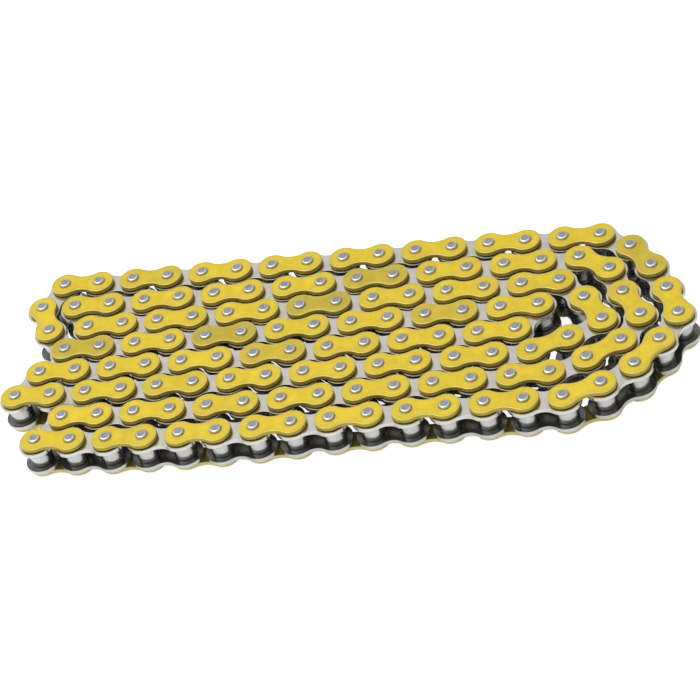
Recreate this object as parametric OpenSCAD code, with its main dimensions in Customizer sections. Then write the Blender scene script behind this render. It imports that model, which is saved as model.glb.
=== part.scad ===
// Motorcycle drive chain, 420 size, 134 links, closed loop.
// It lies on its side in a tight coil of eight rows: every pin stands upright,
// the rows run along X and the front row is at -Y.
//
// Pins are numbered 0 to 133 round the loop. Link i joins pin i to pin i+1.
// Even links are outer links (two painted plates and two pins).
// Odd links are inner links (two steel plates, two bushes and two rollers).
//
// Two rows can swing out of the coil without opening the loop. Each is carried
// between two equal and parallel links, so it moves as one side of a parallelogram:
//   rows 1 and 2 together on link 117 (pins 117-118) and link 17 (pins 18-17),
//   row 1 alone on link 133 (pins 133-0) and link 16 (pins 17-16).

/* [Chain size] */
// Distance between neighbouring pins
pitch = 12.7; // [12.6:0.05:12.8]
// Outside diameter of a roller
roller_d = 7.77; // [7.5:0.01:7.9]
// Clear width between the two inner plates
inner_width = 6.35; // [6.2:0.05:6.5]
// Diameter of a pin
pin_d = 3.97; // [3.9:0.01:4.05]
// Outside diameter of a bush
bush_d = 5.6; // [5.4:0.05:5.7]

/* [Plates] */
// Thickness of an inner plate
inner_plate_t = 1.6; // [1.5:0.1:1.7]
// Thickness of an outer plate
outer_plate_t = 1.6; // [1.5:0.1:1.7]
// Height of an inner plate across its round ends
inner_plate_h = 11.7; // [11.4:0.1:11.7]
// Height of an outer plate across its round ends
outer_plate_h = 10.16; // [9.8:0.02:10.4]
// Height of an inner plate at its waist
inner_waist_h = 7.8; // [7.2:0.1:8.4]
// Height of an outer plate at its waist
outer_waist_h = 6.8; // [6.4:0.1:7.4]

/* [Fits] */
// Gap between an inner plate and the outer plate over it
plate_gap = 0.15; // [0.1:0.05:0.25]
// Radial clearance of a pin in its bush
pin_clearance = 0.05; // [0.03:0.01:0.08]
// Radial clearance of a roller on its bush
roller_clearance = 0.08; // [0.05:0.01:0.1]
// Length of a roller
roller_l = 6.2; // [6.0:0.05:6.2]
// How far a pin stands out of the outer plate
pin_proud = 0.8; // [0.6:0.1:1.0]
// Chamfer round each end of a pin
pin_chamfer = 0.35; // [0.2:0.05:0.5]

/* [Hidden] */
$fn = 64;

links = 134;
stack_h = inner_width + 2*inner_plate_t + 2*plate_gap + 2*outer_plate_t + 2*pin_proud;
mid_z = stack_h/2;
inner_z = inner_width/2;                        // inner face of an inner plate, from mid height
outer_z = inner_z + inner_plate_t + plate_gap;  // inner face of an outer plate, from mid height

// A gently bowed row of n links: the heading runs from a, through m, to b.
function row(n, a, m, b) = [for (k = [0:n-1]) let (t = 2*k/(n-1)) t < 1 ? a + (m-a)*t : m + (b-m)*(t-1)];

// Headings, in degrees, of the links from pin 22 round to pin 20.
headings = concat(
    row(14, 179, 181, 179.5),           // row 8, at the back, running left
    [179, -119, -67.5, -52],            // left turn down to row 5
    row(13, 0, 1, 0.5),                 // row 5, running right
    [-122.5],                           // right hairpin
    row(13, 181, 181, 179),             // row 4, running left
    [-122.5],                           // left hairpin
    row(14, -1, 1, 1),                  // row 3, running right
    [22.5, 32, 121, 133],               // inner right turn up to row 6
    row(13, 180.5, 181, 180),           // row 6, running left
    [122],                              // left hairpin
    row(14, -0.5, 1, 0.5),              // row 7, running right
    [-33.5, -67.5, -61, -117, -148.5, -157], // middle right turn down to row 2
    row(13, 181, 182, 178.5),           // row 2, running left
    [-127],                             // left hairpin
    row(14, -4, 3, 0),                  // row 1, at the front, running right
    [21, 35.5, 53, 63, 109, 115]);      // outer right turn up to the back row

// The pins, one unit step after another, in pitches.
walk = [for (i = 0, p = [0, 0]; i <= len(headings);
             p = i < len(headings) ? p + [cos(headings[i]), sin(headings[i])] : p, i = i + 1) p];

// The last pin closes the loop: it is one pitch from both of its neighbours, on the outside of the turn.
function closing(a, b) = let (v = b - a, d = norm(v)) (a + b)/2 + [v[1], -v[0]]/d*sqrt(1 - d*d/4);

loose = [for (i = [0:links-1]) i == 21 ? closing(walk[132], walk[0]) : walk[(i + 112) % links]];

// The origin is under the middle of the coil.
xs = [for (p = loose) p[0]];
ys = [for (p = loose) p[1]];
centre = [min(xs) + max(xs), min(ys) + max(ys)]/2;
pins = [for (p = loose) (p - centre)*pitch];

function pin_at(i) = pins[i % links];
function heading(i) = let (v = pin_at(i+1) - pin_at(i)) atan2(v[1], v[0]);

// Links of each group
coil_outer = [18:2:116];
coil_inner = [19:2:115];
second_outer = [118:2:132];
second_inner = [119:2:131];
front_outer = [0:2:14];
front_inner = [1:2:15];

paint = [0.91, 0.78, 0.16];
steel = [0.72, 0.72, 0.70];
pin_steel = [0.62, 0.63, 0.65];
bush_steel = [0.50, 0.50, 0.52];
chrome = [0.80, 0.81, 0.82];

// A figure-eight side plate from the origin along +X, standing on z = 0.
// Its waist is cut by two large rounds that run into the round ends.
module plate(h, waist_h, t, hole_r) {
    r = h/2;
    w = waist_h/2;
    cut_r = (pitch*pitch/4 + w*w - r*r)/(2*(r - w));
    side = r*(w + cut_r)/(r + cut_r);
    difference() {
        union() {
            cylinder(r = r, h = t);
            translate([pitch, 0, 0]) cylinder(r = r, h = t);
            translate([0, -side, 0]) cube([pitch, 2*side, t]);
        }
        for (s = [-1, 1]) translate([pitch/2, s*(w + cut_r), -1]) cylinder(r = cut_r + 0.04, h = t + 2);
        for (x = [0, pitch]) translate([x, 0, -1]) cylinder(r = hole_r, h = t + 2);
    }
}

// Puts a piece on link i, with the link along +X
module on_link(i, z) {
    translate([pin_at(i)[0], pin_at(i)[1], mid_z + z]) rotate([0, 0, heading(i)]) children();
}

module outer_plate(i, top) {
    color(paint) on_link(i, top ? outer_z : -outer_z - outer_plate_t)
        plate(outer_plate_h, outer_waist_h, outer_plate_t, pin_d/2);
}

module inner_plate(i, top) {
    color(steel) on_link(i, top ? inner_z : -inner_z - inner_plate_t)
        plate(inner_plate_h, inner_waist_h, inner_plate_t, bush_d/2);
}

// A pin with a chamfer at both ends, turned about its own axis
module pin(i) {
    color(pin_steel) translate([pin_at(i)[0], pin_at(i)[1], 0]) rotate_extrude()
        polygon([[0, 0], [pin_d/2 - pin_chamfer, 0], [pin_d/2, pin_chamfer],
                 [pin_d/2, stack_h - pin_chamfer], [pin_d/2 - pin_chamfer, stack_h], [0, stack_h]]);
}

module bush(i) {
    bush_l = inner_width + 2*inner_plate_t;
    color(bush_steel) translate([pin_at(i)[0], pin_at(i)[1], mid_z - bush_l/2]) difference() {
        cylinder(d = bush_d, h = bush_l);
        translate([0, 0, -1]) cylinder(r = pin_d/2 + pin_clearance, h = bush_l + 2);
    }
}

module roller(i) {
    color(chrome) translate([pin_at(i)[0], pin_at(i)[1], mid_z - roller_l/2]) difference() {
        cylinder(d = roller_d, h = roller_l);
        translate([0, 0, -1]) cylinder(r = bush_d/2 + roller_clearance, h = roller_l + 2);
    }
}

// The pieces of a run of links
module outer_plates(run, top) for (i = run) outer_plate(i, top);
module inner_plates(run, top) for (i = run) inner_plate(i, top);
module pins_of(run) for (i = run) { pin(i); pin(i+1); }
module bushes_of(run) for (i = run) { bush(i); bush(i+1); }
module rollers_of(run) for (i = run) { roller(i); roller(i+1); }

// Rows 3 to 8 and their turns
module coil_outer_plates_upper() outer_plates(coil_outer, true);
module coil_outer_plates_lower() outer_plates(coil_outer, false);
module coil_inner_plates_upper() inner_plates(coil_inner, true);
module coil_inner_plates_lower() inner_plates(coil_inner, false);
module coil_pins() pins_of(coil_outer);
module coil_bushes() bushes_of(coil_inner);
module coil_rollers() rollers_of(coil_inner);

// Row 2
module second_row_outer_plates_upper() outer_plates(second_outer, true);
module second_row_outer_plates_lower() outer_plates(second_outer, false);
module second_row_inner_plates_upper() inner_plates(second_inner, true);
module second_row_inner_plates_lower() inner_plates(second_inner, false);
module second_row_pins() pins_of(second_outer);
module second_row_bushes() bushes_of(second_inner);
module second_row_rollers() rollers_of(second_inner);

// Row 1, at the front
module front_row_outer_plates_upper() outer_plates(front_outer, true);
module front_row_outer_plates_lower() outer_plates(front_outer, false);
module front_row_inner_plates_upper() inner_plates(front_inner, true);
module front_row_inner_plates_lower() inner_plates(front_inner, false);
module front_row_pins() pins_of(front_outer);
module front_row_bushes() bushes_of(front_inner);
module front_row_roller(i) roller(i);

// The swinging inner link of the middle turn
module middle_turn_link_plate_upper() inner_plate(117, true);
module middle_turn_link_plate_lower() inner_plate(117, false);
module middle_turn_link_bushes() bushes_of([117]);
module middle_turn_link_roller(i) roller(i);

// The swinging inner link of the front left hairpin
module hairpin_link_plate_upper() inner_plate(133, true);
module hairpin_link_plate_lower() inner_plate(133, false);
module hairpin_link_bushes() bushes_of([133]);
module hairpin_link_roller(i) roller(i);

// The swinging outer link of the outer turn
module turn_outer_link_plate_upper() outer_plate(16, true);
module turn_outer_link_plate_lower() outer_plate(16, false);
module turn_outer_link_pins() pins_of([16]);

// The swinging inner link of the outer turn
module turn_inner_link_plate_upper() inner_plate(17, true);
module turn_inner_link_plate_lower() inner_plate(17, false);
module turn_inner_link_bushes() bushes_of([17]);
module turn_inner_link_roller(i) roller(i);

coil_outer_plates_upper();
coil_outer_plates_lower();
coil_inner_plates_upper();
coil_inner_plates_lower();
coil_pins();
coil_bushes();
coil_rollers();
second_row_outer_plates_upper();
second_row_outer_plates_lower();
second_row_inner_plates_upper();
second_row_inner_plates_lower();
second_row_pins();
second_row_bushes();
second_row_rollers();
front_row_outer_plates_upper();
front_row_outer_plates_lower();
front_row_inner_plates_upper();
front_row_inner_plates_lower();
front_row_pins();
front_row_bushes();
front_row_roller(1);  // front_row_roller_01
front_row_roller(2);  // front_row_roller_02
front_row_roller(3);  // front_row_roller_03
front_row_roller(4);  // front_row_roller_04
front_row_roller(5);  // front_row_roller_05
front_row_roller(6);  // front_row_roller_06
front_row_roller(7);  // front_row_roller_07
front_row_roller(8);  // front_row_roller_08
front_row_roller(9);  // front_row_roller_09
front_row_roller(10);  // front_row_roller_10
front_row_roller(11);  // front_row_roller_11
front_row_roller(12);  // front_row_roller_12
front_row_roller(13);  // front_row_roller_13
front_row_roller(14);  // front_row_roller_14
front_row_roller(15);  // front_row_roller_15
front_row_roller(16);  // front_row_roller_16
middle_turn_link_plate_upper();
middle_turn_link_plate_lower();
middle_turn_link_bushes();
middle_turn_link_roller(117);  // middle_turn_link_roller_rear
middle_turn_link_roller(118);  // middle_turn_link_roller_front
hairpin_link_plate_upper();
hairpin_link_plate_lower();
hairpin_link_bushes();
hairpin_link_roller(133);  // hairpin_link_roller_rear
hairpin_link_roller(0);  // hairpin_link_roller_front
turn_outer_link_plate_upper();
turn_outer_link_plate_lower();
turn_outer_link_pins();
turn_inner_link_plate_upper();
turn_inner_link_plate_lower();
turn_inner_link_bushes();
turn_inner_link_roller(18);  // turn_inner_link_roller_rear
turn_inner_link_roller(17);  // turn_inner_link_roller_front
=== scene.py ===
# Motorcycle drive chain: detailed meshes, materials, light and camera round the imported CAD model.
import math

import bpy
import numpy as np
from mathutils import Matrix, Vector


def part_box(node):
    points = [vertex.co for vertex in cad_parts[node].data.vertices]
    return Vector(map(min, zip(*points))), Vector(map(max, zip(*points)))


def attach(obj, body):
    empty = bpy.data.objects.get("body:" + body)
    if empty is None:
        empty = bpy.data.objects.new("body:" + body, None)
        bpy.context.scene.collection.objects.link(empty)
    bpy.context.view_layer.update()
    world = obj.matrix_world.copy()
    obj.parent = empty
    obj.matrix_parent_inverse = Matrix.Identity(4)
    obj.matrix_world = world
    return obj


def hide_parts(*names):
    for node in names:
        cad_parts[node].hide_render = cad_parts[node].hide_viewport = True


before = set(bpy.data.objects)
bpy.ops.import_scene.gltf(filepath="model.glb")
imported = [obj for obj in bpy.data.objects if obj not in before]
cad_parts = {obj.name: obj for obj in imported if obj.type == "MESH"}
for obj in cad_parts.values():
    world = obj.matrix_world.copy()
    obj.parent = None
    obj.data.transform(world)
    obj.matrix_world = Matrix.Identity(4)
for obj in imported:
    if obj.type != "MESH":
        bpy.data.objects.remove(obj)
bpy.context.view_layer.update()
scene = bpy.context.scene
MM = 0.001

# ---------------------------------------------------------------- sizes, as in the CAD (mm)
PITCH, ROLLER_D, INNER_W, PIN_D, BUSH_D = 12.7, 7.77, 6.35, 3.97, 5.6
INNER_T, OUTER_T, INNER_H, OUTER_H, INNER_WAIST, OUTER_WAIST = 1.6, 1.6, 11.7, 10.16, 7.8, 6.8
GAP, ROLLER_L, PROUD = 0.15, 6.2, 0.8
STACK = INNER_W + 2 * INNER_T + 2 * GAP + 2 * OUTER_T + 2 * PROUD
MID = STACK / 2
INNER_Z = INNER_W / 2
OUTER_Z = INNER_Z + INNER_T + GAP
LINKS = 134


# ---------------------------------------------------------------- where the pins stand, by the CAD's own rule
def row(n, a, m, b):
    out = []
    for k in range(n):
        t = 2 * k / (n - 1)
        out.append(a + (m - a) * t if t < 1 else m + (b - m) * (t - 1))
    return out


headings = (
    row(14, 179, 181, 179.5) + [179, -119, -67.5, -52] + row(13, 0, 1, 0.5) + [-122.5]
    + row(13, 181, 181, 179) + [-122.5] + row(14, -1, 1, 1) + [22.5, 32, 121, 133]
    + row(13, 180.5, 181, 180) + [122] + row(14, -0.5, 1, 0.5) + [-33.5, -67.5, -61, -117, -148.5, -157]
    + row(13, 181, 182, 178.5) + [-127] + row(14, -4, 3, 0) + [21, 35.5, 53, 63, 109, 115]
)
walk = [np.zeros(2)]
for h in headings:
    walk.append(walk[-1] + [math.cos(math.radians(h)), math.sin(math.radians(h))])
v = walk[0] - walk[132]
d = float(np.linalg.norm(v))
closing = (walk[0] + walk[132]) / 2 + np.array([v[1], -v[0]]) / d * math.sqrt(1 - d * d / 4)
pins = np.array([closing if i == 21 else walk[(i + 112) % LINKS] for i in range(LINKS)])
pins = (pins - (pins.min(0) + pins.max(0)) / 2) * PITCH
for i in range(1, 17):
    lo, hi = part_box(f"front_row_roller_{i:02d}")
    c = (lo + hi) / 2 / MM
    if abs(c.x - pins[i][0]) > 0.05 or abs(c.y - pins[i][1]) > 0.05:
        raise SystemExit(f"pin {i} is not where the CAD has it")


def pin(i):
    return pins[i % LINKS]


def angle(i):
    w = pin(i + 1) - pin(i)
    return math.atan2(w[1], w[0])


# ---------------------------------------------------------------- templates: vertices in mm and faces
def plate_template(height, waist, thick, hole, round_top, round_under, chamfer):
    """A figure-eight plate along +X on z 0 to thick, with rounded stamped edges and chamfered holes. The side at z = thick faces outward."""
    r, w = height / 2, waist / 2
    rc = (PITCH * PITCH / 4 + w * w - r * r) / (2 * (r - w))
    phi = math.atan2(w + rc, PITCH / 2)
    n_lobe, n_arc, n_mid = 30, 6, 6

    def half(inset):
        """Left half of the outline, from the middle of the upper waist round the left lobe to the middle of the lower waist"""
        pts = []
        for k in range(n_arc):
            a = -math.pi / 2 - (math.pi / 2 - phi) * k / n_arc
            pts.append((PITCH / 2 + (rc + inset) * math.cos(a), w + rc + (rc + inset) * math.sin(a)))
        for k in range(n_lobe + 1):
            a = phi + (2 * math.pi - 2 * phi) * k / n_lobe
            pts.append(((r - inset) * math.cos(a), (r - inset) * math.sin(a)))
        for k in range(1, n_arc + 1):
            a = math.pi - phi - (math.pi / 2 - phi) * k / n_arc
            pts.append((PITCH / 2 + (rc + inset) * math.cos(a), -(w + rc) + (rc + inset) * math.sin(a)))
        return pts

    def ring(inset):
        left = half(inset)
        right = [(PITCH - x, -y) for x, y in left]
        return left[:-1] + right[:-1]

    verts, faces = [], []

    def add(points, z):
        base = len(verts)
        verts.extend((x, y, z) for x, y in points)
        return base

    n = len(ring(0))
    steps = 4
    rings = []
    for k in range(steps + 1):
        t = math.pi / 2 * k / steps
        rings.append((round_top * (1 - math.sin(t)), thick - round_top * (1 - math.cos(t))))
    for k in range(steps + 1):
        t = math.pi / 2 * (1 - k / steps)
        rings.append((round_under * (1 - math.sin(t)), round_under * (1 - math.cos(t))))
    bases = [add(ring(i), z) for i, z in rings]
    for a, b in zip(bases, bases[1:]):
        for k in range(n):
            m = (k + 1) % n
            faces.append((a + k, b + k, b + m, a + m))
    # the flat faces: each half runs from the outline and the middle line to its hole
    n_half = len(half(0)) - 1

    def mid_points(inset):
        top, low = w - inset, -(w - inset)
        return [(PITCH / 2, low + (top - low) * k / n_mid) for k in range(1, n_mid)]

    def flat(base, inset, z, up):
        mids = add(mid_points(inset), z)
        loops = []
        left = list(range(base, base + n_half + 1)) + [mids + k for k in range(n_mid - 1)]
        # the right half's loop runs round the right lobe, from the lower middle point, and back along the same middle line
        right = [base + (n_half + k) % n for k in range(n_half + 1)] + [mids + n_mid - 2 - k for k in range(n_mid - 1)]
        for loop, cx in ((left, 0.0), (right, PITCH)):
            radius = hole + chamfer
            pts = []
            for q in loop:
                x, y, _ = verts[q]
                a = math.atan2(y, x - cx)
                pts.append((cx + radius * math.cos(a), radius * math.sin(a)))
            h = add(pts, z)
            m = len(loop)
            for k in range(m):
                j = (k + 1) % m
                f = (loop[k], loop[j], h + j, h + k)
                faces.append(f if up else f[::-1])
            loops.append((h, m, cx, pts))
        return loops

    tops = flat(bases[0], rings[0][0], thick, True)
    lows = flat(bases[-1], rings[-1][0], 0.0, False)
    for (h1, m, cx, p1), (h2, _, _, p2) in zip(tops, lows):
        def wall(scale_from, z):
            return add([(cx + (x - cx) * hole / (hole + chamfer), y * hole / (hole + chamfer)) for x, y in scale_from], z)
        a = wall(p1, thick - chamfer)
        b = wall(p1, chamfer)
        for u, q in ((h1, a), (a, b), (b, h2)):
            for k in range(m):
                j = (k + 1) % m
                faces.append((u + k, u + j, q + j, q + k))
    return np.array(verts), faces


def lathe_template(profile, n, closed):
    """Turns a profile of (radius, z) points about Z. A closed profile is a ring, and an open one starts and ends on the axis."""
    verts, faces = [], []
    rows = []
    for r, z in profile:
        if r == 0:
            rows.append((len(verts), 1))
            verts.append((0.0, 0.0, z))
        else:
            rows.append((len(verts), n))
            verts.extend((r * math.cos(2 * math.pi * k / n), r * math.sin(2 * math.pi * k / n), z) for k in range(n))
    pairs = list(zip(rows, rows[1:] + rows[:1])) if closed else list(zip(rows, rows[1:]))
    for (a, na), (b, nb) in pairs:
        for k in range(n):
            j = (k + 1) % n
            if na == 1:
                faces.append((a, b + j, b + k)[::-1])
            elif nb == 1:
                faces.append((a + k, b, a + j)[::-1])
            else:
                faces.append((a + k, b + k, b + j, a + j))
    return np.array(verts), faces


def arc(cx, cz, rx, rz, a0, a1, n):
    return [(cx + rx * math.cos(math.radians(a0 + (a1 - a0) * k / n)), cz + rz * math.sin(math.radians(a0 + (a1 - a0) * k / n))) for k in range(n + 1)]


OUTER = plate_template(OUTER_H - 0.04, OUTER_WAIST, OUTER_T, PIN_D / 2 + 0.02, 0.28, 0.20, 0.14)
INNER = plate_template(INNER_H - 0.04, INNER_WAIST, INNER_T, BUSH_D / 2 + 0.01, 0.14, 0.12, 0.10)

R = PIN_D / 2
end = ([(0.0, 0.0), (0.6, 0.0), (1.1, 0.0), (1.36, 0.0)] + arc(1.41, 0.0, 0.05, 0.04, 180, 90, 3)[1:]
       + [(1.50, 0.025), (1.60, -0.015), (1.70, -0.075), (1.79, -0.145), (1.86, -0.22), (1.92, -0.31), (1.96, -0.41), (R, -0.54)])
top_end = [(r, STACK - 0.05 + z) for r, z in end]
low_end = [(r, 0.05 - z) for r, z in end][::-1]
PIN = lathe_template([(r, z - MID) for r, z in top_end + [(R, MID + 2), (R, MID - 2)] + low_end], 40, False)
RO, RI, RH = ROLLER_D / 2, BUSH_D / 2 + 0.08, ROLLER_L / 2
ROLLER = lathe_template(
    arc(RO - 0.35, RH - 0.35, 0.35, 0.35, 90, 0, 5) + arc(RO - 0.35, -RH + 0.35, 0.35, 0.35, 0, -90, 5)
    + arc(RI + 0.15, -RH + 0.15, 0.15, 0.15, 270, 180, 2) + arc(RI + 0.15, RH - 0.15, 0.15, 0.15, 180, 90, 2), 56, True)
BUSH_L, BR, BH = INNER_W + 2 * INNER_T, BUSH_D / 2, PIN_D / 2 + 0.05
BUSH = lathe_template(
    [(BR - 0.08, BUSH_L / 2), (BR, BUSH_L / 2 - 0.08), (BR, -BUSH_L / 2 + 0.08), (BR - 0.08, -BUSH_L / 2),
     (BH + 0.12, -BUSH_L / 2), (BH, -BUSH_L / 2 + 0.12), (BH, BUSH_L / 2 - 0.12), (BH + 0.12, BUSH_L / 2)], 40, True)


def prepare(template):
    """Faces as arrays with outward winding, and vertex normals in which a flat end or side keeps its own direction"""
    verts, faces = template
    vol = 0.0
    for f in faces:
        for a, b in zip(f[1:-1], f[2:]):
            vol += np.dot(verts[f[0]], np.cross(verts[a], verts[b]))
    if vol < 0:
        faces = [f[::-1] for f in faces]
    normals = np.zeros_like(verts)
    for f in faces:
        p = verts[list(f)]
        area = 0.5 * sum(np.cross(p[k] - p[0], p[k + 1] - p[0]) for k in range(1, len(f) - 1))
        size = np.linalg.norm(area)
        if size > 1e-12 and abs(area[2]) / size > 0.99999:
            area = area * 1000
        for q in f:
            normals[q] += area
    normals /= np.maximum(np.linalg.norm(normals, axis=1), 1e-12)[:, None]
    totals = np.array([len(f) for f in faces])
    loops = np.array([q for f in faces for q in f])
    return {"verts": verts, "normals": normals, "totals": totals, "loops": loops}


TEMPLATES = {"outer": prepare(OUTER), "inner": prepare(INNER), "pin": prepare(PIN), "roller": prepare(ROLLER), "bush": prepare(BUSH)}

# ---------------------------------------------------------------- a tone for each link: 0 dull, 0.5 usual, 1 bright
rng = np.random.default_rng(420)
tones = np.clip(0.62 + 0.08 * rng.standard_normal(LINKS), 0.40, 0.85)
for link, tone in {44: 0.02, 92: 0.06, 108: 0.14, 40: 0.12, 20: 0.18, 50: 0.3, 60: 0.3, 34: 0.4}.items():
    tones[link] = tone
tones += 0.003 * np.arange(LINKS) / LINKS


def place(kind, i, upper):
    """Rotation about Z, the other turn for a lower plate, and the place of one part, in mm"""
    x, y = pin(i)
    if kind == "outer" or kind == "inner":
        z = OUTER_Z if kind == "outer" else INNER_Z
        return angle(i), upper, (x, y, MID + z if upper else MID - z)
    return (0.37 * i * 7.1) % (2 * math.pi), True, (x, y, MID)


def make(name, kind, numbers, body, nodes, material, upper=True):
    t = TEMPLATES[kind]
    n, m, count = len(t["verts"]), len(t["loops"]), len(numbers)
    verts = np.empty((count, n, 3))
    normals = np.empty((count, n, 3))
    for k, i in enumerate(numbers):
        a, up, origin = place(kind, i, upper)
        c, s = math.cos(a), math.sin(a)
        turn = np.array([[c, -s, 0], [s, c, 0], [0, 0, 1.0]])
        if not up:
            turn = turn @ np.diag([1.0, -1.0, -1.0])
        verts[k] = (t["verts"] @ turn.T + np.array(origin)) * MM
        normals[k] = t["normals"] @ turn.T
    mesh = bpy.data.meshes.new(name)
    mesh.vertices.add(n * count)
    mesh.vertices.foreach_set("co", verts.reshape(-1))
    mesh.loops.add(m * count)
    mesh.loops.foreach_set("vertex_index", (t["loops"][None, :] + n * np.arange(count)[:, None]).reshape(-1).astype(np.int32))
    totals = np.tile(t["totals"], count)
    mesh.polygons.add(len(totals))
    mesh.polygons.foreach_set("loop_start", (np.cumsum(totals) - totals).astype(np.int32))
    mesh.polygons.foreach_set("use_smooth", np.ones(len(totals), dtype=bool))
    mesh.update(calc_edges=True)
    mesh.validate()
    local = mesh.attributes.new("local", "FLOAT_VECTOR", "POINT")
    local.data.foreach_set("vector", np.tile(t["verts"], (count, 1)).reshape(-1).astype(np.float32))
    tone = mesh.attributes.new("tone", "FLOAT", "POINT")
    tone.data.foreach_set("value", np.repeat([tones[i % LINKS] for i in numbers], n).astype(np.float32))
    low = mesh.attributes.new("low", "FLOAT", "POINT")
    low.data.foreach_set("value", np.full(n * count, 0.0 if upper else 1.0, dtype=np.float32))
    mesh.normals_split_custom_set_from_vertices(normals.reshape(-1, 3).tolist())
    mesh.materials.append(material)
    obj = bpy.data.objects.new(name, mesh)
    scene.collection.objects.link(obj)
    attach(obj, body)
    if nodes:
        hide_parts(*nodes)
    return obj


# ---------------------------------------------------------------- materials
class Nodes:
    """A short way to write a material's nodes"""

    def __init__(self, name):
        self.mat = bpy.data.materials.new(name)
        self.mat.use_nodes = True
        self.tree = self.mat.node_tree
        self.bsdf = next(n for n in self.tree.nodes if n.type == "BSDF_PRINCIPLED")

    def put(self, kind, inputs=None, **settings):
        node = self.tree.nodes.new(kind)
        for k, val in settings.items():
            setattr(node, k, val)
        for k, val in (inputs or {}).items():
            self.to(val, node.inputs[k])
        return node

    def to(self, value, socket):
        if isinstance(value, bpy.types.NodeSocket):
            self.tree.links.new(value, socket)
        else:
            socket.default_value = value

    def set(self, **inputs):
        for k, val in inputs.items():
            self.to(val, self.bsdf.inputs[k.replace("_", " ")])

    def attribute(self, name):
        return self.put("ShaderNodeAttribute", attribute_type="GEOMETRY", attribute_name=name)

    def math(self, op, a, b=0.0, c=0.0, clamp=False):
        return self.put("ShaderNodeMath", {0: a, 1: b, 2: c}, operation=op, use_clamp=clamp).outputs[0]

    def noise(self, vector, w, scale, detail=2.0, roughness=0.5):
        return self.put("ShaderNodeTexNoise", {"Vector": vector, "W": w, "Scale": scale, "Detail": detail, "Roughness": roughness}, noise_dimensions="4D").outputs[0]

    def range(self, value, a, b, c, d):
        return self.put("ShaderNodeMapRange", {"Value": value, "From Min": a, "From Max": b, "To Min": c, "To Max": d}, clamp=True).outputs[0]

    def scaled(self, vector, x, y, z):
        return self.put("ShaderNodeVectorMath", {0: vector, 1: (x, y, z)}, operation="MULTIPLY").outputs[0]

    def ramp(self, value, stops):
        node = self.put("ShaderNodeValToRGB", {"Fac": value})
        while len(node.color_ramp.elements) < len(stops):
            node.color_ramp.elements.new(0.5)
        for e, (pos, colour) in zip(node.color_ramp.elements, stops):
            e.position = pos
            e.color = (*colour, 1.0)
        return node.outputs[0]

    def mix(self, factor, a, b, how="MIX"):
        node = self.put("ShaderNodeMix", data_type="RGBA", blend_type=how)
        for socket, value in ((node.inputs[0], factor), (node.inputs[6], a), (node.inputs[7], b)):
            if isinstance(value, tuple):
                value = (*value, 1.0)
            self.to(value, socket)
        return node.outputs[2]

    def inward(self, vector):
        """1 on the flat side of a plate that faces the inside of the chain (local z = 0), 0 on the rest"""
        z = self.put("ShaderNodeSeparateXYZ", {0: vector}).outputs["Z"]
        return self.range(z, 0.03, 0.20, 1.0, 0.0)

    def band(self, vector, a, b, c, d):
        """1 where the plate's local z is from b to c mm, fading to 0 at a and d"""
        z = self.put("ShaderNodeSeparateXYZ", {0: vector}).outputs["Z"]
        return self.math("MULTIPLY", self.range(z, a, b, 0.0, 1.0), self.range(z, c, d, 1.0, 0.0))

    def plate_edge(self, vector, height, waist):
        """How far a point on a plate is from its outline and from the nearer pin's axis, in mm"""
        r, w = height / 2, waist / 2
        rc = (PITCH * PITCH / 4 + w * w - r * r) / (2 * (r - w))
        xyz = self.put("ShaderNodeSeparateXYZ", {0: vector})
        y = self.math("ABSOLUTE", xyz.outputs["Y"])
        middle = self.math("ABSOLUTE", self.math("SUBTRACT", xyz.outputs["X"], PITCH / 2))
        along = self.math("SUBTRACT", PITCH / 2, middle)

        def length(a, b):
            return self.math("SQRT", self.math("ADD", self.math("MULTIPLY", a, a), self.math("MULTIPLY", b, b)))

        axis = length(along, y)
        lobe = self.math("SUBTRACT", r, axis)
        side = self.math("SUBTRACT", length(middle, self.math("SUBTRACT", w + rc, y)), rc)
        in_waist = self.math("LESS_THAN", self.math("MULTIPLY", y, PITCH / 2), self.math("MULTIPLY", along, w + rc))
        edge = self.math("ADD", self.math("MULTIPLY", in_waist, side), self.math("MULTIPLY", self.math("SUBTRACT", 1.0, in_waist), lobe))
        return edge, axis

    def bump(self, height, distance, strength):
        return self.put("ShaderNodeBump", {"Height": height, "Distance": distance, "Strength": strength}).outputs[0]


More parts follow.
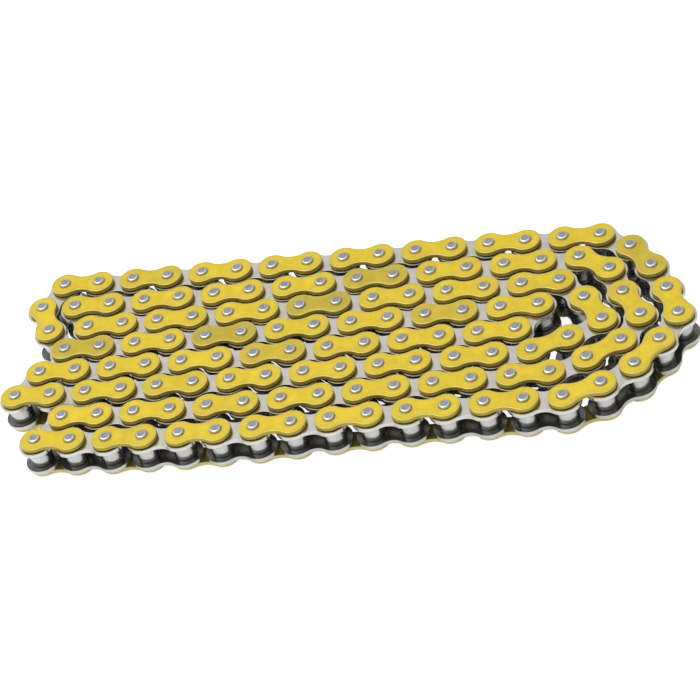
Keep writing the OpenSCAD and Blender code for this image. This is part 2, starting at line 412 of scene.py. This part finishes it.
def gold():
    m = Nodes("gold_paint_satin")
    p, tone = m.attribute("local").outputs["Vector"], m.attribute("tone").outputs["Fac"]
    seed = m.math("MULTIPLY", tone, 91.0)
    cloud = m.noise(p, seed, 0.22, 3.0)
    mottle = m.noise(p, seed, 1.1, 3.0, 0.6)
    peel = m.noise(p, seed, 4.5, 2.0)
    grain = m.noise(p, seed, 16.0, 2.0, 0.6)
    base = m.ramp(tone, [(0.0, GOLD[0]), (0.25, GOLD[1]), (0.6, GOLD[2]), (1.0, GOLD[3])])
    light = m.math("ADD", m.range(cloud, 0.3, 0.7, 0.89, 1.07), m.range(mottle, 0.3, 0.7, -0.06, 0.06))
    col = m.mix(1.0, base, m.put("ShaderNodeCombineColor", {0: light, 1: light, 2: light}).outputs[0], "MULTIPLY")
    fleck = m.range(m.noise(p, seed, 2.6, 1.0), 0.70, 0.76, 0.0, 0.35)
    col = m.mix(fleck, col, (0.46, 0.34, 0.03))
    edge, axis = m.plate_edge(p, OUTER_H - 0.04, OUTER_WAIST)
    # painted shade: the colour is dulled and darkened towards the outline and round each pin, so the middle of each
    # plate looks lit
    tone_and_shade = m.math("MAXIMUM", m.range(edge, 0.2, 1.5, 0.75, 0.0), m.range(axis, PIN_D / 2, PIN_D / 2 + 1.2, 0.55, 0.0))
    col = m.mix(m.math("MULTIPLY", tone_and_shade, m.range(mottle, 0.35, 0.65, 0.7, 1.0)), col, (0.53, 0.435, 0.125))
    # painted shadow: a thin dark ring on the plate round each pin, broken up by the mottle
    pin_shadow = m.math("MULTIPLY", m.range(axis, PIN_D / 2 + 0.05, PIN_D / 2 + 0.40, 0.75, 0.0), m.range(mottle, 0.35, 0.65, 0.5, 1.0))
    col = m.mix(pin_shadow, col, (0.16, 0.12, 0.025))
    # painted highlight: a pale line along the rounded outward edge of each plate, broken up by the grain
    rim_highlight = m.band(p, OUTER_T - 0.24, OUTER_T - 0.14, OUTER_T - 0.03, OUTER_T - 0.005)
    col = m.mix(m.math("MULTIPLY", rim_highlight, m.range(grain, 0.35, 0.6, 0.35, 0.75)), col, (0.95, 0.80, 0.22))
    # painted shade: the side wall between the rounded edges is darkened a little; it is also made rougher
    side = m.band(p, 0.10, 0.30, OUTER_T - 0.32, OUTER_T - 0.12)
    low = m.attribute("low").outputs["Fac"]
    col = m.mix(m.math("MULTIPLY", side, 0.12), col, (0.30, 0.235, 0.03))
    # painted light: on the lower plates the band next to the outline is made pale, standing in for light from the white
    # table below
    col = m.mix(m.math("MULTIPLY", m.math("MULTIPLY", low, m.range(edge, 0.0, 0.4, 1.0, 0.0)), m.range(grain, 0.35, 0.6, 0.5, 0.9)), col, (0.95, 0.90, 0.50))
    # painted shade: the side that faces the inside of the chain is made near black and less metallic, standing in for
    # the dark between the plates
    inward_shade = m.inward(p)
    inward_shade = m.math("MULTIPLY", inward_shade, m.range(cloud, 0.3, 0.7, 0.82, 0.94))
    col = m.mix(inward_shade, col, (0.080, 0.058, 0.015))
    rough = m.math("ADD", m.range(mottle, 0.3, 0.7, 0.30, 0.38), m.range(grain, 0.3, 0.7, -0.03, 0.03))
    m.set(Base_Color=col, Metallic=m.math("MULTIPLY", m.math("SUBTRACT", 1.0, inward_shade), 0.5), Roughness=m.math("ADD", rough, m.math("MULTIPLY", side, 0.20)))
    m.set(Specular_IOR_Level=0.5, Specular_Tint=(1.0, 0.80, 0.25, 1.0))
    height = m.math("ADD", m.math("MULTIPLY", peel, 0.7), m.math("MULTIPLY", grain, 0.3))
    m.set(Normal=m.bump(height, 0.00002, 0.55))
    return m.mat


def nickel():
    m = Nodes("plate_steel_satin")
    p, tone = m.attribute("local").outputs["Vector"], m.attribute("tone").outputs["Fac"]
    seed = m.math("MULTIPLY", tone, 53.0)
    cloud = m.noise(p, seed, 0.3, 3.0)
    brushed = m.noise(m.scaled(p, 0.6, 9.0, 3.0), seed, 1.6, 3.0, 0.6)
    tumble = m.noise(p, seed, 6.0, 3.0, 0.7)
    col = m.mix(m.range(cloud, 0.3, 0.7, 0.0, 1.0), STEEL[0], STEEL[1])
    col = m.mix(m.range(tumble, 0.62, 0.74, 0.0, 0.3), col, (0.36, 0.345, 0.32))
    # painted light: the plate's side wall is made lighter than its flat faces
    rim_light = m.band(p, 0.08, 0.20, INNER_T - 0.14, INNER_T - 0.02)
    col = m.mix(m.math("MULTIPLY", rim_light, m.range(tumble, 0.3, 0.7, 0.7, 1.0)), col, STEEL[2])
    # painted shade: the side that faces the inside of the chain is made near black and a little less metallic, standing
    # in for the dark between the plates
    inward_shade = m.inward(p)
    inward_shade = m.math("MULTIPLY", inward_shade, m.range(cloud, 0.3, 0.7, 0.80, 0.92))
    col = m.mix(inward_shade, col, (0.062, 0.068, 0.064))
    rough = m.math("ADD", m.range(tumble, 0.3, 0.7, 0.17, 0.25), m.range(brushed, 0.3, 0.7, -0.02, 0.04))
    m.set(Base_Color=col, Metallic=m.math("SUBTRACT", 1.0, m.math("MULTIPLY", inward_shade, 0.35)), Roughness=rough)
    height = m.math("ADD", m.math("MULTIPLY", brushed, 0.5), m.math("MULTIPLY", tumble, 0.5))
    m.set(Normal=m.bump(height, 0.00002, 0.4))
    return m.mat


def pin_metal():
    m = Nodes("pin_steel_ground")
    p, tone = m.attribute("local").outputs["Vector"], m.attribute("tone").outputs["Fac"]
    seed = m.math("MULTIPLY", tone, 77.0)
    radius = m.put("ShaderNodeVectorMath", {0: m.scaled(p, 1.0, 1.0, 0.0)}, operation="LENGTH").outputs["Value"]
    face = m.range(radius, 1.34, 1.42, 1.0, 0.0)
    cloud = m.noise(p, seed, 0.9, 3.0)
    grain = m.noise(p, seed, 9.0, 3.0, 0.6)
    turned = m.math("SINE", m.math("MULTIPLY", m.math("ADD", radius, m.math("MULTIPLY", cloud, 0.10)), 42.0))
    disc = m.mix(m.range(cloud, 0.3, 0.7, 0.0, 1.0), PINS[0], PINS[1])
    ring = m.mix(m.range(cloud, 0.3, 0.7, 0.0, 1.0), PINS[2], PINS[3])
    col = m.mix(face, ring, disc)
    col = m.mix(m.range(grain, 0.6, 0.72, 0.0, 0.3), col, (0.30, 0.295, 0.28))
    rough = m.math("ADD", m.math("MULTIPLY", face, 0.09), m.range(grain, 0.3, 0.7, 0.15, 0.21))
    m.set(Base_Color=col, Metallic=1.0, Roughness=rough)
    height = m.math("ADD", m.math("MULTIPLY", m.math("MULTIPLY", turned, face), 0.12), m.math("MULTIPLY", grain, 0.5))
    m.set(Normal=m.bump(height, 0.00002, 0.35))
    return m.mat


def bush_metal():
    m = Nodes("bush_steel_drawn")
    p, tone = m.attribute("local").outputs["Vector"], m.attribute("tone").outputs["Fac"]
    seed = m.math("MULTIPLY", tone, 31.0)
    drawn = m.noise(m.scaled(p, 3.0, 3.0, 0.5), seed, 2.0, 3.0, 0.6)
    col = m.mix(m.range(drawn, 0.3, 0.7, 0.0, 1.0), (0.42, 0.41, 0.40), (0.52, 0.51, 0.49))
    m.set(Base_Color=col, Metallic=1.0, Roughness=m.range(drawn, 0.3, 0.7, 0.28, 0.38))
    m.set(Normal=m.bump(drawn, 0.00001, 0.4))
    return m.mat


def roller_metal():
    m = Nodes("roller_steel_polished")
    p, tone = m.attribute("local").outputs["Vector"], m.attribute("tone").outputs["Fac"]
    seed = m.math("MULTIPLY", tone, 67.0)
    rings = m.noise(m.scaled(p, 0.35, 0.35, 9.0), seed, 1.5, 3.0, 0.6)
    # a slow noise that varies the roller's tone and roughness at random
    tone_and_shade = m.noise(p, seed, 0.5, 3.0, 0.6)
    col = m.mix(m.range(tone_and_shade, 0.3, 0.7, 0.0, 1.0), (0.66, 0.655, 0.645), (0.80, 0.795, 0.785))
    m.set(Base_Color=col, Metallic=1.0, Roughness=m.math("ADD", m.range(tone_and_shade, 0.3, 0.7, 0.15, 0.24), m.range(rings, 0.3, 0.7, -0.03, 0.03)))
    m.set(Normal=m.bump(rings, 0.00001, 0.35))
    return m.mat


GOLD = [(0.49, 0.385, 0.052), (0.59, 0.450, 0.046), (0.728, 0.545, 0.042), (0.775, 0.577, 0.045)]
# the third steel colour is the lighter one painted on the side walls of the inner plates as painted light
STEEL = [(0.44, 0.425, 0.385), (0.51, 0.495, 0.455), (0.86, 0.85, 0.81)]
PINS = [(0.222, 0.226, 0.226), (0.325, 0.330, 0.330), (0.55, 0.545, 0.525), (0.76, 0.755, 0.73)]
MATS = {"outer": (gold(), "gold_paint"), "inner": (nickel(), "plate_steel"), "pin": (pin_metal(), "pin_steel"), "bush": (bush_metal(), "bush_steel"), "roller": (roller_metal(), "roller_steel")}


def part(name, kind, numbers, body, nodes, upper=True):
    mat, slot = MATS[kind]
    return make(name, kind, list(numbers), body, nodes, mat, upper)


# ---------------------------------------------------------------- the pieces, each on its CAD body
def evens(a, b):
    return [i for i in range(a, b + 1) if i % 2 == 0]


def odds(a, b):
    return [i for i in range(a, b + 1) if i % 2 == 1]


ROWS = {"turn": (18, 21), "rows_7_8": (22, 53), "rows_5_6": (54, 85), "rows_3_4": (86, 116)}
for k, (a, b) in ROWS.items():
    part(f"coil_{k}_outer_links_upper", "outer", evens(a, b), "coil", ["coil_outer_plates_upper"])
part("coil_outer_links_lower", "outer", evens(18, 116), "coil", ["coil_outer_plates_lower"], False)
part("coil_inner_links_upper", "inner", odds(19, 115), "coil", ["coil_inner_plates_upper"])
part("coil_inner_links_lower", "inner", odds(19, 115), "coil", ["coil_inner_plates_lower"], False)
for k, a, b in (("rear", 18, 67), ("front", 68, 117)):
    part(f"coil_{k}_pin_set", "pin", range(a, b + 1), "coil", ["coil_pins"])
    part(f"coil_{k}_bush_set", "bush", range(max(a, 19), min(b, 116) + 1), "coil", ["coil_bushes"])
    part(f"coil_{k}_roller_set", "roller", range(max(a, 19), min(b, 116) + 1), "coil", ["coil_rollers"])

for body, a, b in (("second_row", 118, 132), ("front_row", 0, 14)):
    for side, up in (("upper", True), ("lower", False)):
        part(f"{body}_outer_links_{side}", "outer", evens(a, b), body, [f"{body}_outer_plates_{side}"], up)
        part(f"{body}_inner_links_{side}", "inner", odds(a + 1, b + 1 if body == "front_row" else b - 1), body, [f"{body}_inner_plates_{side}"], up)
    part(f"{body}_pin_set", "pin", range(a, b + 2), body, [f"{body}_pins"])
part("second_row_bush_set", "bush", range(119, 133), "second_row", ["second_row_bushes"])
part("second_row_roller_set", "roller", range(119, 133), "second_row", ["second_row_rollers"])
part("front_row_bush_set", "bush", range(1, 17), "front_row", ["front_row_bushes"])
for i in range(1, 17):
    part(f"front_row_roller_turned_{i:02d}", "roller", [i], f"front_row_roller_{i:02d}", [f"front_row_roller_{i:02d}"])

for body, i, rear, front in (("middle_turn_link", 117, 117, 118), ("hairpin_link", 133, 133, 134), ("turn_inner_link", 17, 18, 17)):
    for side, up in (("upper", True), ("lower", False)):
        part(f"{body}_stamped_plate_{side}", "inner", [i], body, [f"{body}_plate_{side}"], up)
    part(f"{body}_bush_pair", "bush", [i, i + 1], body, [f"{body}_bushes"])
    for end_name, j in (("rear", rear), ("front", front)):
        part(f"{body}_turned_roller_{end_name}", "roller", [j], f"{body}_roller_{end_name}", [f"{body}_roller_{end_name}"])
for side, up in (("upper", True), ("lower", False)):
    part(f"turn_outer_link_stamped_plate_{side}", "outer", [16], "turn_outer_link", [f"turn_outer_link_plate_{side}"], up)
part("turn_outer_link_pin_pair", "pin", [16, 17], "turn_outer_link", ["turn_outer_link_pins"])

# ---------------------------------------------------------------- floor, light and camera
def sheet(name, z, colour, glow):
    mesh = bpy.data.meshes.new(name)
    mesh.from_pydata([(-3, -3, z), (3, -3, z), (3, 3, z), (-3, 3, z)], [], [(0, 1, 2, 3)])
    obj = bpy.data.objects.new(name, mesh)
    scene.collection.objects.link(obj)
    paper = Nodes(name + "_paper")
    paper.set(Base_Color=(colour, colour, colour, 1.0), Roughness=0.9, Specular_IOR_Level=0.1)
    if glow:
        paper.set(Emission_Color=(1.0, 1.0, 1.0, 1.0), Emission_Strength=glow)
    mesh.materials.append(paper.mat)
    return obj


# the table top that is seen, with its shadow lifted, and the same table top as the chain's metal reflects it
floor = sheet("studio_floor", -0.00002, 0.60, 0.88)
floor.visible_glossy = floor.visible_diffuse = floor.visible_shadow = False
mirror = sheet("studio_floor_reflected", -0.00003, 0.92, 0.0)
mirror.visible_camera = False

world = bpy.data.worlds.new("studio")
scene.world = world
world.use_nodes = True
tree = world.node_tree
back = next(n for n in tree.nodes if n.type == "BACKGROUND")
out = next(n for n in tree.nodes if n.type == "OUTPUT_WORLD")
where = tree.nodes.new("ShaderNodeTexCoord")
# a wide soft overhead light that fades towards the horizon, and plain white where the camera sees past the table
KEY = Vector((-0.35, 0.10, 0.93)).normalized()
TOP = 2.0
dot = tree.nodes.new("ShaderNodeVectorMath")
dot.operation = "DOT_PRODUCT"
tree.links.new(where.outputs["Generated"], dot.inputs[0])
dot.inputs[1].default_value = KEY
remap = tree.nodes.new("ShaderNodeMapRange")
remap.inputs["From Min"].default_value = -1.0
remap.inputs["From Max"].default_value = 1.0
tree.links.new(dot.outputs["Value"], remap.inputs["Value"])
sky = tree.nodes.new("ShaderNodeValToRGB")
stops = [(-1.0, 0.15), (-0.2, 0.32), (0.2, 0.42), (0.50, 0.50), (0.64, 0.86), (0.75, 1.18), (0.88, 1.30), (1.0, 1.33)]
while len(sky.color_ramp.elements) < len(stops):
    sky.color_ramp.elements.new(0.5)
for e, (cosine, val) in zip(sky.color_ramp.elements, stops):
    e.position = (cosine + 1) / 2
    e.color = (val / TOP, val / TOP, val / TOP, 1.0)
tree.links.new(remap.outputs[0], sky.inputs[0])
tree.links.new(sky.outputs[0], back.inputs["Color"])
back.inputs["Strength"].default_value = TOP
plain = tree.nodes.new("ShaderNodeBackground")
plain.inputs["Color"].default_value = (1.0, 1.0, 1.0, 1.0)
plain.inputs["Strength"].default_value = 1.0
seen = tree.nodes.new("ShaderNodeLightPath")
choose = tree.nodes.new("ShaderNodeMixShader")
tree.links.new(seen.outputs["Is Camera Ray"], choose.inputs[0])
tree.links.new(back.outputs[0], choose.inputs[1])
tree.links.new(plain.outputs[0], choose.inputs[2])
tree.links.new(choose.outputs[0], out.inputs["Surface"])


def area(name, place, aim, size, power):
    light = bpy.data.lights.new(name, "AREA")
    light.shape = "RECTANGLE"
    light.size, light.size_y = size
    light.energy = power
    obj = bpy.data.objects.new(name, light)
    obj.location = place
    obj.rotation_euler = (Vector(aim) - Vector(place)).to_track_quat("-Z", "Y").to_euler()
    scene.collection.objects.link(obj)
    return obj


area("softbox_key", (-0.36, -0.02, 0.93), (0, 0, 0), (0.6, 0.5), 1.6)

view = bpy.data.cameras.new("camera")
view.sensor_width = 36.0
view.lens = 2544.68 * 36.0 / 700.0
view.clip_start, view.clip_end = 0.05, 20.0
camera = bpy.data.objects.new("camera", view)
scene.collection.objects.link(camera)
right = Vector((0.96594336, 0.1160612, -0.23126439))
upward = Vector((0.08337889, 0.70647833, 0.70280604))
back_axis = Vector((0.24495179, -0.6981534, 0.672741))
m = Matrix((right, upward, back_axis)).transposed().to_4x4()
m.translation = Vector(((16.7906 - 0.2864) * PITCH, (-46.7872 + 0.0958) * PITCH, STACK + 44.3663 * PITCH)) * MM
camera.matrix_world = m
scene.camera = camera
scene.view_settings.view_transform = "Standard"
